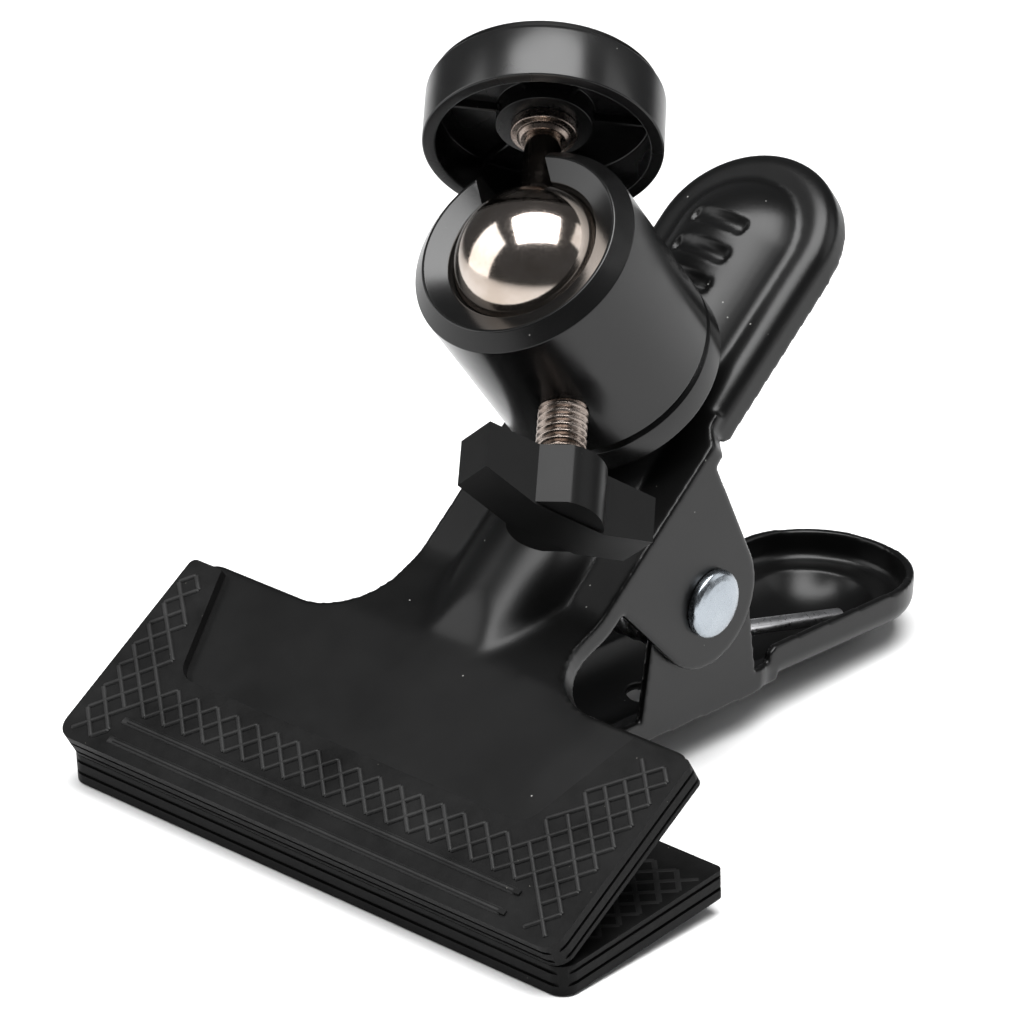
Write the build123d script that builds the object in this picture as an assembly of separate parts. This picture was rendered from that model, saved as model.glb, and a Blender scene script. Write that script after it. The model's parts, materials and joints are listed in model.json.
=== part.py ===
from build123d import *
import os
from math import acos, asin, atan2, cos, degrees, hypot, radians, sin, tan

# Spring clamp with a ball head, in millimetres.
#
# World frame: +X is the clamp's width, +Y runs from the jaws to the handles, +Z is up.
# The clamp stands on its lower half. The origin is the middle of the bounding box's bottom face.
#
# Half frame: both stamped halves are drawn once, in a frame whose origin is the pivot.
# X is the width, Y runs along the neck towards the handle, and Z points out of the clamp.

# ---- driving dimensions: jaws and pads ----
JAW_WIDTH = 104.0
PAD_DEPTH = 36.8
PAD_THICKNESS = 5.4
PAD_WALL = 2.0
PAD_RIB_HEIGHT = 0.4
PAD_FRONT_CORNER = 3.0
PAD_BACK_CORNER = 1.2
WINDOW_CORNER = 4.0
JAW_TILT = 7.0
JAW_FRONT = (-70.5, 32.65)
JAW_REST_GAP = 0.1
WINDOW_SHIFT = -2.5
WINDOW_BACK_WIDTH = 86.8
WINDOW_FRONT_WIDTH = 72.6
WINDOW_FRONT_Y = 17.0
RIB_LENGTH = 82.0
RIB_PLACES = (2.6, 6.45)
RIB_WIDTH = 0.8

# ---- driving dimensions: stamped halves ----
SHEET = 1.5
NECK_LEVEL = 21.3
NECK_HALF = {"upper": 19.0, "lower": 17.2}
JAW_PLATE_BACK = 38.0
JAW_TO_NECK_RADIUS = 11.0
CHANNEL_HALF = 11.3
CHANNEL_HEIGHT = 5.2
CHANNEL_NOSE = -27.5
FLANGE_DEPTH = 4.0
FLANGE_RUN = (-34.0, 20.6)
FLANGE_SPREAD = 76.0
EAR_RADIUS = 11.3
EAR_ROOT = (-13.5, 16.0)
HANDLE_HALF = 16.4
HANDLE_START = 20.3
HANDLE_END_CENTRE = 52.2
RIM_DEPTH = 6.4
SHOULDER = 3.0
NOTCH_FLOOR = (13.0, 17.6)
NOTCH_RISE_END = 21.3
GROOVE_PLACES = (40.0, 45.8, 51.6)
GROOVE_DEPTH = 0.9
GROOVE_RADIUS = 1.9
GROOVE_LENGTH = 11.0
GROOVE_SHIFT = -1.0

# ---- driving dimensions: pivot and spring ----
RIVET_RADIUS = 3.0
RIVET_HEAD_RADIUS = 5.6
RIVET_HEAD_HEIGHT = 2.2
RIVET_WASHER_THICKNESS = 1.0
RIVET_TAIL_RADIUS = 4.6
SLEEVE_RADIUS = 6.0
PIVOT_CLEARANCE = 0.05
FACE_GAP = 0.1
WIRE_RADIUS = 1.3
COIL_RADIUS = 8.6
COIL_HALF = 10.7
COIL_WHOLE_TURNS = 7
LEG_REACH = 44.7

# ---- driving dimensions: ball head ----
HEAD_PLACE = 20.0
HEAD_LEVEL = 33.7
NECK_HOLE = {"upper": (HEAD_PLACE, 3.3), "lower": (9.3, 3.5)}
SADDLE_RADIUS = 11.0
RING_RADIUS = 18.2
RING_HEIGHT = 6.0
RING_EDGE = 0.8
RING_GAP = 0.17
SPIGOT_RADIUS = 8.0
SPIGOT_HEIGHT = 4.4
SPIGOT_CLEARANCE = 0.06
BARREL_RADIUS = 18.25
BARREL_HEIGHT = 31.4
BARREL_FOOT = 0.5
BARREL_SHOULDER_LEVEL = 29.0
BARREL_FLOOR = (5.0, 7.2)
CREST_RADII = (15.6, 16.0)
MOUTH_RADIUS = 12.3
MOUTH_LEVEL = 29.85
LIP_LEVEL = 29.0
BALL_RADIUS = 12.5
BALL_LEVEL = 24.8
BALL_CLEARANCE = 0.05
CUP_RADIUS = 10.6
CUP_CLEARANCE = 0.06
CUP_DRAIN_RADIUS = 4.0
STEM_AZIMUTH = 121.5
SLOT_AZIMUTH = 129.5
SLOT_HALF = 5.8
STEM_RADIUS = 2.9
STEM_END = 31.0
STEM_COLLAR_RADIUS = 3.9
STEM_COLLAR_END = 14.2
HEAD_SCREW_RADIUS = 3.0
HEAD_SCREW_TIP = 3.2
HEAD_SCREW_CAP = (5.0, 3.5)
HEX_ACROSS = 4.0
WASHER_RADII = (6.2, 5.2)
WASHER_THICKNESS = 1.2

# ---- driving dimensions: locking screw and knob ----
SCREW_AZIMUTH = -59.3
SCREW_LEVEL = 11.3
SCREW_RADIUS = 3.9
SCREW_CLEARANCE = 0.06
SCREW_DEPTH_IN_KNOB = 8.0
PLUG_RADIUS = 3.2
PLUG_LENGTH = 3.0
PLUG_NEAR = 10.75
KNOB_NEAR = 28.5
KNOB_HUB_RADIUS = 7.4
KNOB_HUB_DEPTH = 10.65
KNOB_WING_DEPTH = 8.0
KNOB_SPAN = 31.4
KNOB_WING_THICKNESS = 7.35
KNOB_FACET_ANGLES = (150.2, 112.0)
KNOB_EDGE = 0.4
KNOB_TURN = 29.2

# ---- driving dimensions: mounting disc ----
DISC_NEAR = 22.6
DISC_RADIUS = 18.8
DISC_THICKNESS = 9.8
DISC_WALL = 1.9
DISC_ROOF = 2.4
DISC_HUB_RADIUS = 7.6
DISC_HUB_NEAR = 26.6
DISC_RIBS = 6
RIB_THICKNESS = 0.9
COLLAR_NUT_RADIUS = 5.2
COLLAR_NUT_NEAR = 23.7
FLAT_SIZE = 9.0
STUD_RADIUS = 3.175
STUD_LENGTH = 7.0
STUD_FLANGE_RADIUS = 5.0
STUD_FLANGE_THICKNESS = 1.2
FACE_PAD_THICKNESS = 1.2
FACE_PAD_RADII = (6.0, 18.0)
FIT = 0.02
STEM_CLEARANCE = 0.05

FAR = 200.0


def tangent_point(point, radius, side):
    """Where a line from a point touches a circle round the origin; side is +1 or -1."""
    distance = hypot(*point)
    angle = atan2(point[1], point[0]) + side * acos(radius / distance)
    return (radius * cos(angle), radius * sin(angle))


# ---- places worked out from the driving dimensions ----
TILT = radians(JAW_TILT)
JAW_PLANE = Plane(origin=(0, *JAW_FRONT), x_dir=(1, 0, 0), z_dir=(0, sin(TILT), cos(TILT)))
CHANNEL_ARC = (CHANNEL_HALF**2 + CHANNEL_HEIGHT**2) / (2 * CHANNEL_HEIGHT)
CHANNEL_TOP = NECK_LEVEL + CHANNEL_HEIGHT

INNER_FRONT = (
    JAW_FRONT[0] - PAD_THICKNESS * sin(TILT),
    JAW_FRONT[1] - PAD_THICKNESS * cos(TILT),
)
HALF_SPREAD = degrees(
    atan2(INNER_FRONT[1], -INNER_FRONT[0]) - asin(JAW_REST_GAP / 2 / hypot(*INNER_FRONT))
)

# The lower half stands on its pad's first rib and on the round end of its channel.
FOOT_INSET = RIB_PLACES[0] - RIB_WIDTH / 2
FOOT = (JAW_FRONT[0] + FOOT_INSET * cos(TILT), JAW_FRONT[1] - FOOT_INSET * sin(TILT))
CAP_CENTRE = (HANDLE_END_CENTRE - 1.0, CHANNEL_TOP - CHANNEL_ARC)
TO_CAP = (CAP_CENTRE[0] - FOOT[0], CAP_CENTRE[1] - FOOT[1])
LOWER_TURN = degrees(atan2(TO_CAP[1], TO_CAP[0]) + asin(CHANNEL_ARC / hypot(*TO_CAP)))
UPPER_TURN = LOWER_TURN + 2 * HALF_SPREAD
PIVOT_HEIGHT = FOOT[1] * cos(radians(LOWER_TURN)) - FOOT[0] * sin(radians(LOWER_TURN))
LOWER_PLACE = Pos(0, 0, PIVOT_HEIGHT) * Rot(LOWER_TURN, 0, 0) * Rot(0, 180, 0)
UPPER_PLACE = Pos(0, 0, PIVOT_HEIGHT) * Rot(UPPER_TURN, 0, 0)

PIVOT_PLACE = Pos(0, 0, PIVOT_HEIGHT)
RING_BASE = HEAD_LEVEL - RING_GAP - RING_HEIGHT
LEG_TIP = (LEG_REACH, NECK_LEVEL - SHEET - WIRE_RADIUS - 0.1)

# Frames of the ball head, inside the upper half's frame.
HEAD_PLACE_FRAME = Pos(0, HEAD_PLACE, HEAD_LEVEL)
SCREW_FRAME = HEAD_PLACE_FRAME * Pos(0, 0, SCREW_LEVEL) * Rot(0, 0, SCREW_AZIMUTH) * Rot(0, 90, 0)
STEM_FRAME = HEAD_PLACE_FRAME * Pos(0, 0, BALL_LEVEL) * Rot(0, 0, STEM_AZIMUTH) * Rot(0, 90, 0)


def jaw_level(y, depth=PAD_WALL):
    """Height of the jaw plate's outer face at a place along the neck."""
    return JAW_FRONT[1] - depth / cos(TILT) - (y - JAW_FRONT[0]) * tan(TILT)


def extruded_across(points, half_width):
    """A side outline of (y, z) points, extruded equally to both sides of the middle plane."""
    outline = Polyline(*points, close=True)
    face = Plane.YZ * make_face(outline)
    return extrude(face, half_width, both=True)


def rounded_path(points, radius):
    """A run of (y, z) points with its inner corners rounded."""
    return FilletPolyline(*points, radius=radius)


def sheet_strip(points, thickness, half_width, radius):
    """A formed strip: its outer face follows the points, and it is one thickness deep."""
    lowered = [(y, z - thickness) for y, z in points]
    outer = rounded_path(points, radius)
    inner = rounded_path(lowered, radius)
    ends = [Line(points[0], lowered[0]), Line(points[-1], lowered[-1])]
    face = Plane.YZ * make_face([outer, inner, *ends])
    return extrude(face, half_width, both=True)


def stadium(half_width, start, end_centre, low, high):
    """A tongue from start, with a round end about end_centre, between two heights."""
    tongue = Pos(0, (start + end_centre) / 2) * Rectangle(2 * half_width, end_centre - start)
    tongue += Pos(0, end_centre) * Circle(half_width)
    return extrude(Pos(0, 0, low) * tongue, high - low)


# ---- stamped halves ----
def neck_outline(neck_half):
    """Plan of the jaw plate and the neck, up to the handle."""
    plate_half = JAW_WIDTH / 2 - PAD_WALL
    front = JAW_FRONT[0] + PAD_WALL
    back = JAW_FRONT[0] + JAW_PLATE_BACK * cos(TILT)
    right = [
        (plate_half, front),
        (plate_half, back),
        (neck_half, back),
        (neck_half, EAR_ROOT[1] + 1.0),
        (HANDLE_HALF, HANDLE_START - 0.5),
        (HANDLE_HALF, HANDLE_START + 2.0),
    ]
    left = [(-x, y) for x, y in reversed(right)]
    plan = make_face(Polyline(*right, *left, close=True))
    inner = [v for v in plan.vertices() if abs(abs(v.X) - neck_half) < 0.01 and v.Y < back + 1]
    plan = fillet(inner, JAW_TO_NECK_RADIUS)
    outer = [v for v in plan.vertices() if abs(abs(v.X) - plate_half) < 0.01]
    return fillet(outer, 2.5)


def strip_points():
    """Outer face of the jaw plate, its ramp down to the neck and the neck's flat strips."""
    front = JAW_FRONT[0] - 5
    return [(front, jaw_level(front)), (-31, jaw_level(-31)), (-17, NECK_LEVEL), (40, NECK_LEVEL)]


def neck_sheet(neck_half):
    """Jaw plate and neck, with the turned-down flange along the neck's edges."""
    plan = neck_outline(neck_half)
    prism = extrude(plan, FAR)
    sheet = sheet_strip(strip_points(), SHEET, FAR, 9.0) & prism
    flange = sheet_strip(strip_points(), FLANGE_DEPTH, FAR, 9.0) & prism
    flange -= extrude(offset(plan, -SHEET, kind=Kind.INTERSECTION), FAR)
    run_start, run_end = FLANGE_RUN
    keep = Pos(0, (run_start + run_end) / 2, 0) * Box(FLANGE_SPREAD, run_end - run_start, FAR)
    return sheet + (flange & keep)


def channel(shrink):
    """The raised channel: an arched bar from the jaw to a round end in the handle."""
    radius = CHANNEL_ARC - shrink
    arc_centre = CHANNEL_TOP - CHANNEL_ARC
    start = CHANNEL_NOSE - 12
    length = CAP_CENTRE[0] - start
    bar = Pos(0, start + length / 2, arc_centre) * Rot(90, 0, 0) * Cylinder(radius, length)
    bar += Pos(0, CAP_CENTRE[0], arc_centre) * Sphere(radius)
    top = CHANNEL_TOP + 0.01 - shrink
    nose = [
        (CHANNEL_NOSE - 2, -FAR),
        (CHANNEL_NOSE - 2, jaw_level(CHANNEL_NOSE - 2) - shrink),
        (CHANNEL_NOSE + 6, top),
        (FAR, top),
        (FAR, -FAR),
    ]
    return bar & extruded_across(nose, CHANNEL_HALF)


def ear(neck_half, side):
    """One ear: a tapered plate that is round about the pivot."""
    root_front, root_back = EAR_ROOT
    level = NECK_LEVEL - 0.2
    front = tangent_point((root_front, level), EAR_RADIUS, 1)
    back = tangent_point((root_back, level), EAR_RADIUS, -1)
    profile = make_face(Polyline((root_front, level), (root_back, level), back, front, close=True))
    profile += Circle(EAR_RADIUS)
    profile -= Circle(RIVET_RADIUS + PIVOT_CLEARANCE)
    plate = extrude(Plane.YZ * profile, SHEET)
    return Pos(neck_half - SHEET if side > 0 else -neck_half, 0, 0) * plate


def handle_cup():
    """The deep handle: a rim wall with a rounded shoulder, open towards the neck."""
    low = NECK_LEVEL - RIM_DEPTH
    outer = stadium(HANDLE_HALF, HANDLE_START - 0.5, HANDLE_END_CENTRE, low, NECK_LEVEL)
    top_edges = outer.faces().sort_by(Axis.Z)[-1].edges()
    outer = fillet([e for e in top_edges if e.center().Y > HANDLE_START + 1], SHOULDER)
    inner_half = HANDLE_HALF - SHEET
    inner_start = NOTCH_FLOOR[0]
    inner = stadium(inner_half, inner_start, HANDLE_END_CENTRE, low - 5, NECK_LEVEL - SHEET)
    inner_edges = inner.faces().sort_by(Axis.Z)[-1].edges()
    inner = fillet([e for e in inner_edges if e.center().Y > inner_start + 1], SHOULDER - SHEET)
    notch = [
        (NOTCH_FLOOR[0], low - 1),
        (NOTCH_FLOOR[0], NECK_LEVEL - FLANGE_DEPTH),
        (NOTCH_FLOOR[1], NECK_LEVEL - FLANGE_DEPTH),
        (NOTCH_RISE_END, low),
        (NOTCH_RISE_END, low - 1),
    ]
    return outer - inner - extruded_across(notch, FAR)


def grip_groove(place):
    """A shallow groove of even depth, with square ends, over the arch of the handle."""
    ring = Rot(90, 0, 0) * Torus(CHANNEL_ARC + GROOVE_RADIUS - GROOVE_DEPTH, GROOVE_RADIUS)
    groove = Pos(0, 0, CHANNEL_ARC) * Box(GROOVE_LENGTH, 4 * GROOVE_RADIUS, CHANNEL_ARC)
    groove &= Pos(-GROOVE_SHIFT, 0, 0) * ring
    return Pos(GROOVE_SHIFT, place, CHANNEL_TOP - CHANNEL_ARC) * groove


def clamp_half(kind):
    """One stamped half in the half frame; the upper one's ears pass outside the lower one's."""
    neck_half = NECK_HALF[kind]
    above_strips = Pos(0, 0, NECK_LEVEL - SHEET + FAR / 2) * Box(FAR, FAR, FAR)
    half = neck_sheet(neck_half) + handle_cup() + (channel(0) & above_strips)
    half -= channel(SHEET)
    for side in (1, -1):
        half += ear(neck_half, side)
    for place in GROOVE_PLACES:
        half -= grip_groove(place)
    hole_place, hole_radius = NECK_HOLE[kind]
    return half - Pos(0, hole_place, NECK_LEVEL) * Cylinder(hole_radius, 30)


def jaw_pad():
    """Rubber boot: a full inner pad, side walls, and an outer frame with a window and two ribs."""
    face = -PAD_RIB_HEIGHT
    height = PAD_THICKNESS - PAD_RIB_HEIGHT
    outline = Pos(0, PAD_DEPTH / 2) * Rectangle(JAW_WIDTH, PAD_DEPTH)
    outline = fillet(outline.vertices().group_by(Axis.Y)[0], PAD_FRONT_CORNER)
    outline = fillet(outline.vertices().group_by(Axis.Y)[-1], PAD_BACK_CORNER)
    body = extrude(Pos(0, 0, face - height) * outline, height)
    plate_half = JAW_WIDTH / 2 - PAD_WALL
    slot_middle = -PAD_WALL - SHEET / 2
    slot = Pos(0, PAD_WALL + FAR / 2, slot_middle) * Box(2 * plate_half, FAR, SHEET)
    corners = [
        (WINDOW_SHIFT - WINDOW_FRONT_WIDTH / 2, WINDOW_FRONT_Y),
        (WINDOW_SHIFT + WINDOW_FRONT_WIDTH / 2, WINDOW_FRONT_Y),
        (WINDOW_SHIFT + WINDOW_BACK_WIDTH / 2, PAD_DEPTH + 1),
        (WINDOW_SHIFT - WINDOW_BACK_WIDTH / 2, PAD_DEPTH + 1),
    ]
    window = make_face(Polyline(*corners, close=True))
    window = fillet([v for v in window.vertices() if v.Y < PAD_DEPTH], WINDOW_CORNER)
    body -= slot
    body -= extrude(Pos(0, 0, -PAD_WALL) * window, PAD_WALL)
    for place in RIB_PLACES:
        body += Pos(0, place, face / 2) * Box(RIB_LENGTH, RIB_WIDTH, PAD_RIB_HEIGHT)
    return JAW_PLANE.location * body


# ---- pivot and spring, in the lower half's frame ----
def along_x(radius, start, end):
    """A round bar along X."""
    return Pos((start + end) / 2, 0, 0) * Rot(0, 90, 0) * Cylinder(radius, end - start)


def rivet_head(radius, start, end):
    """A low rivet head between two places along X, rounded at its outer end."""
    head = along_x(radius, min(start, end), max(start, end))
    outer = head.edges().sort_by(Axis.X)[-1 if end > start else 0]
    return fillet(outer, 0.85 * RIVET_HEAD_HEIGHT)


def pivot_rivet():
    """Rivet with a domed head on +X and a smaller peened tail on -X."""
    head_face = NECK_HALF["upper"] + FACE_GAP
    tail_face = -head_face - RIVET_WASHER_THICKNESS
    rivet = along_x(RIVET_RADIUS, tail_face - 0.5, head_face + 0.5)
    rivet += rivet_head(RIVET_HEAD_RADIUS, head_face, head_face + RIVET_HEAD_HEIGHT)
    return rivet + rivet_head(RIVET_TAIL_RADIUS, tail_face, tail_face - RIVET_HEAD_HEIGHT)


def rivet_washer():
    """Flat washer under the rivet's peened tail."""
    face = -NECK_HALF["upper"] - FACE_GAP
    washer = along_x(RIVET_HEAD_RADIUS, face - RIVET_WASHER_THICKNESS, face)
    return washer - along_x(RIVET_RADIUS + 0.02, -FAR, FAR)


def spring_sleeve():
    """Spacer tube on the rivet, between the lower half's ears."""
    half_length = NECK_HALF["lower"] - SHEET - 0.02
    tube = along_x(SLEEVE_RADIUS, -half_length, half_length)
    return tube - along_x(RIVET_RADIUS + 0.02, -FAR, FAR)


def leg_root():
    """Where a spring leg leaves the coil, in the half frame."""
    return tangent_point(LEG_TIP, COIL_RADIUS, 1)


def spring_leg():
    """A straight leg from the coil to the inside of a handle, in the half frame."""
    root = leg_root()
    length = hypot(LEG_TIP[0] - root[0], LEG_TIP[1] - root[1])
    rise = degrees(atan2(LEG_TIP[1] - root[1], LEG_TIP[0] - root[0]))
    leg = Rot(rise, 0, 0) * Pos(0, length / 2, 0) * Rot(90, 0, 0) * Cylinder(WIRE_RADIUS, length)
    return Pos(-COIL_HALF, *root) * leg


def torsion_spring():
    """The coil round the sleeve, wound from the upper leg to the lower leg."""
    root = leg_root()
    root_angle = degrees(atan2(root[1], root[0]))
    start = root_angle + UPPER_TURN
    turns = COIL_WHOLE_TURNS + (360 - root_angle + LOWER_TURN - start) / 360
    pitch = 2 * COIL_HALF / turns
    path = Helix(pitch=pitch, height=2 * COIL_HALF, radius=COIL_RADIUS)
    wire = sweep(Plane(path @ 0, z_dir=path % 0) * Circle(WIRE_RADIUS), path=path, is_frenet=True)
    coil = Pos(-COIL_HALF, 0, 0) * Rot(0, 90, 0) * Rot(0, 0, start + 90) * wire
    upper_leg = Rot(UPPER_TURN, 0, 0) * spring_leg()
    lower_leg = Rot(LOWER_TURN, 0, 0) * Rot(0, 180, 0) * spring_leg()
    return coil + upper_leg + lower_leg


# ---- ball head, in its own frame: origin under the barrel, Z along the barrel ----
def disc(radius, low, high):
    """A round plate between two heights."""
    return Pos(0, 0, (low + high) / 2) * Cylinder(radius, high - low)


def turned(points):
    """A body of revolution from a half profile of (radius, height) points."""
    return revolve(Plane.XZ * make_face(Polyline(*points, close=True)), Axis.Z)


def head_saddle():
    """Spacer between the arched neck and the flat base ring."""
    saddle = disc(SADDLE_RADIUS, NECK_LEVEL, RING_BASE) - disc(NECK_HOLE["upper"][1], 0, FAR)
    return Pos(0, HEAD_PLACE, 0) * saddle - channel(-FIT)


def base_ring():
    """Base ring with the threaded spigot that the barrel turns on."""
    ring = disc(RING_RADIUS, RING_BASE, RING_BASE + RING_HEIGHT)
    ring = chamfer(ring.edges(), RING_EDGE)
    ring += disc(SPIGOT_RADIUS, RING_BASE + 1, RING_BASE + RING_HEIGHT + SPIGOT_HEIGHT)
    ring -= disc(HEAD_SCREW_RADIUS + FIT, RING_BASE - 1, HEAD_LEVEL + HEAD_SCREW_TIP + 0.3)
    return Pos(0, HEAD_PLACE, 0) * ring


def washer_top():
    """Height at which a flat washer meets the arched underside of the neck."""
    return CHANNEL_TOP - CHANNEL_ARC + ((CHANNEL_ARC - SHEET) ** 2 - WASHER_RADII[0] ** 2) ** 0.5


def head_washer(order):
    """The flat washer is first under the sheet and the spring washer is second."""
    top = washer_top() - FIT - order * (WASHER_THICKNESS + FIT)
    ring = disc(WASHER_RADII[order], top - WASHER_THICKNESS, top)
    ring -= disc(HEAD_SCREW_RADIUS + 0.2, 0, FAR)
    if order == 1:
        ring -= Pos(WASHER_RADII[1], 0, top) * Box(2 * WASHER_RADII[1], 0.8, 4)
    return Pos(0, HEAD_PLACE, 0) * ring


def head_screw():
    """Socket screw that holds the base ring from inside the neck."""
    cap_radius, cap_height = HEAD_SCREW_CAP
    cap_top = washer_top() - FIT - 2 * (WASHER_THICKNESS + FIT)
    screw = disc(cap_radius, cap_top - cap_height, cap_top)
    screw += disc(HEAD_SCREW_RADIUS, cap_top - 1, HEAD_LEVEL + HEAD_SCREW_TIP)
    socket = extrude(RegularPolygon(HEX_ACROSS / 2, 6, major_radius=False), 2.2)
    return Pos(0, HEAD_PLACE, 0) * (screw - Pos(0, 0, cap_top - cap_height) * socket)


def ball_space():
    """The sphere that the ball turns in."""
    return Pos(0, 0, BALL_LEVEL) * Sphere(BALL_RADIUS + BALL_CLEARANCE)


def barrel():
    """Barrel with the ball socket, its crest, the slot for the stem and the locking screw's hole."""
    reach = LIP_LEVEL - BALL_LEVEL
    lip_radius = ((BALL_RADIUS + BALL_CLEARANCE) ** 2 - reach**2) ** 0.5
    profile = [
        (0, 0),
        (BARREL_RADIUS - BARREL_FOOT, 0),
        (BARREL_RADIUS, BARREL_FOOT),
        (BARREL_RADIUS, BARREL_SHOULDER_LEVEL),
        (CREST_RADII[1], BARREL_HEIGHT),
        (CREST_RADII[0], BARREL_HEIGHT),
        (MOUTH_RADIUS, MOUTH_LEVEL),
        (lip_radius, LIP_LEVEL),
        (lip_radius, BALL_LEVEL),
        (0, BALL_LEVEL),
    ]
    body = turned(profile)
    floor_low, floor_high = BARREL_FLOOR
    body -= disc(SPIGOT_RADIUS + SPIGOT_CLEARANCE, -1, floor_low)
    body -= disc(CUP_RADIUS + CUP_CLEARANCE, floor_high, BALL_LEVEL)
    body -= ball_space()
    slot = Pos(0, 0, BALL_LEVEL) * Rot(0, 90, 0) * disc(SLOT_HALF, 0, 2 * BARREL_RADIUS)
    slot += Pos(BARREL_RADIUS, 0, BALL_LEVEL + BARREL_HEIGHT / 2) * Box(
        2 * BARREL_RADIUS, 2 * SLOT_HALF, BARREL_HEIGHT
    )
    body -= Rot(0, 0, SLOT_AZIMUTH) * slot
    bore = Rot(0, 90, 0) * disc(SCREW_RADIUS + SCREW_CLEARANCE, CUP_RADIUS - 1, 2 * BARREL_RADIUS)
    body -= Rot(0, 0, SCREW_AZIMUTH) * Pos(0, 0, SCREW_LEVEL) * bore
    return HEAD_PLACE_FRAME * body


def ball_seat_cup():
    """Nylon cup under the ball, which the locking screw squeezes."""
    cup = disc(CUP_RADIUS, BARREL_FLOOR[1] + FIT, BALL_LEVEL) - ball_space()
    cup -= disc(CUP_DRAIN_RADIUS, 0, BALL_LEVEL)
    return HEAD_PLACE_FRAME * cup


def ball_and_stem():
    """Chromed ball with its stem, which ends inside the mounting disc."""
    shape = Sphere(BALL_RADIUS)
    shape += disc(STEM_COLLAR_RADIUS, 0, STEM_COLLAR_END)
    shape += disc(STEM_RADIUS, 0, STEM_END)
    return STEM_FRAME * shape


# ---- locking screw, in a frame whose Z runs outward along the screw from the barrel's axis ----
def pressure_plug():
    """Brass plug between the screw's tip and the seat cup."""
    return SCREW_FRAME * disc(PLUG_RADIUS, PLUG_NEAR, PLUG_NEAR + PLUG_LENGTH)


def locking_screw():
    """Threaded rod from the plug to the inside of the knob."""
    start = PLUG_NEAR + PLUG_LENGTH + FACE_GAP
    rod = disc(SCREW_RADIUS, start, KNOB_NEAR + SCREW_DEPTH_IN_KNOB - FIT)
    return SCREW_FRAME * chamfer(rod.edges().sort_by(Axis.Z)[0], 0.5)


def locking_knob():
    """Wing knob: a round hub with two flats, and two square wings that slope to their tips."""
    half_span = KNOB_SPAN / 2
    half_thickness = KNOB_WING_THICKNESS / 2
    wings = extrude(Rectangle(KNOB_SPAN, KNOB_WING_THICKNESS), KNOB_HUB_DEPTH)
    shoulder = KNOB_HUB_RADIUS - 1
    profile = [
        (-half_span, 0),
        (half_span, 0),
        (half_span, KNOB_WING_DEPTH),
        (shoulder, KNOB_HUB_DEPTH),
        (-shoulder, KNOB_HUB_DEPTH),
        (-half_span, KNOB_WING_DEPTH),
    ]
    slope = Plane.XZ * make_face(Polyline(*profile, close=True))
    wings &= extrude(slope, KNOB_SPAN, both=True)
    wings = chamfer(wings.edges(), KNOB_EDGE)
    hub = disc(KNOB_HUB_RADIUS, 0, KNOB_HUB_DEPTH - KNOB_EDGE)
    start, end = KNOB_FACET_ANGLES
    facet = KNOB_HUB_RADIUS * cos(radians(start - end) / 2)
    for turn in (0, 180):
        beyond = Pos(facet + KNOB_HUB_RADIUS, 0, 0) * Box(2 * KNOB_HUB_RADIUS, FAR, FAR)
        hub -= Rot(0, 0, (start + end) / 2 + turn) * beyond
    knob = wings + hub
    knob -= disc(SCREW_RADIUS + FIT, -1, SCREW_DEPTH_IN_KNOB)
    return SCREW_FRAME * Pos(0, 0, KNOB_NEAR) * Rot(0, 0, KNOB_TURN) * knob


# ---- mounting disc, in a frame whose Z runs along the stem from the ball's centre ----
def mount_disc():
    """Cup-shaped disc, open towards the ball, with a hub and radial ribs inside."""
    far = DISC_NEAR + DISC_THICKNESS
    roof = far - DISC_ROOF
    shell = disc(DISC_RADIUS, DISC_NEAR, far)
    shell = fillet(shell.edges().sort_by(Axis.Z)[-1], 1.5)
    shell -= disc(DISC_RADIUS - DISC_WALL, DISC_NEAR - 1, roof)
    hub = disc(DISC_HUB_RADIUS, DISC_HUB_NEAR, roof + 1)
    rib_length = DISC_RADIUS - DISC_WALL - DISC_HUB_RADIUS + 1
    rib_middle = (DISC_RADIUS - DISC_WALL + DISC_HUB_RADIUS) / 2
    rib_low = DISC_HUB_NEAR + 1
    rib = Pos(rib_middle, 0, (rib_low + roof) / 2) * Box(rib_length, RIB_THICKNESS, roof - rib_low)
    shell += hub
    for step in range(DISC_RIBS):
        shell += Rot(0, 0, 360 * step / DISC_RIBS) * rib
    shell -= disc(STEM_RADIUS + STEM_CLEARANCE, DISC_NEAR, far)
    shell -= disc(STUD_FLANGE_RADIUS + FIT, far - STUD_FLANGE_THICKNESS, far + 1)
    return STEM_FRAME * shell


def disc_collar_nut():
    """Nickel collar that holds the disc on its stem, with two flats for a spanner."""
    collar = disc(COLLAR_NUT_RADIUS, COLLAR_NUT_NEAR, DISC_HUB_NEAR - FIT)
    collar &= Pos(0, 0, DISC_HUB_NEAR) * Box(FLAT_SIZE, FAR, 20)
    return STEM_FRAME * (collar - disc(STEM_RADIUS + STEM_CLEARANCE, 0, FAR))


def mount_stud():
    """Quarter-inch stud with the flange that is let into the disc."""
    far = DISC_NEAR + DISC_THICKNESS
    stud = disc(STUD_FLANGE_RADIUS, far - STUD_FLANGE_THICKNESS + FIT, far)
    top = disc(STUD_RADIUS, far - 0.5, far + FACE_PAD_THICKNESS + STUD_LENGTH)
    return STEM_FRAME * (stud + chamfer(top.edges().sort_by(Axis.Z)[-1], 0.5))


def disc_face_pad():
    """Rubber ring that grips whatever is screwed on the stud."""
    inner, outer = FACE_PAD_RADII
    far = DISC_NEAR + DISC_THICKNESS
    pad = disc(outer, far, far + FACE_PAD_THICKNESS) - disc(inner, 0, FAR)
    return STEM_FRAME * pad


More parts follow.
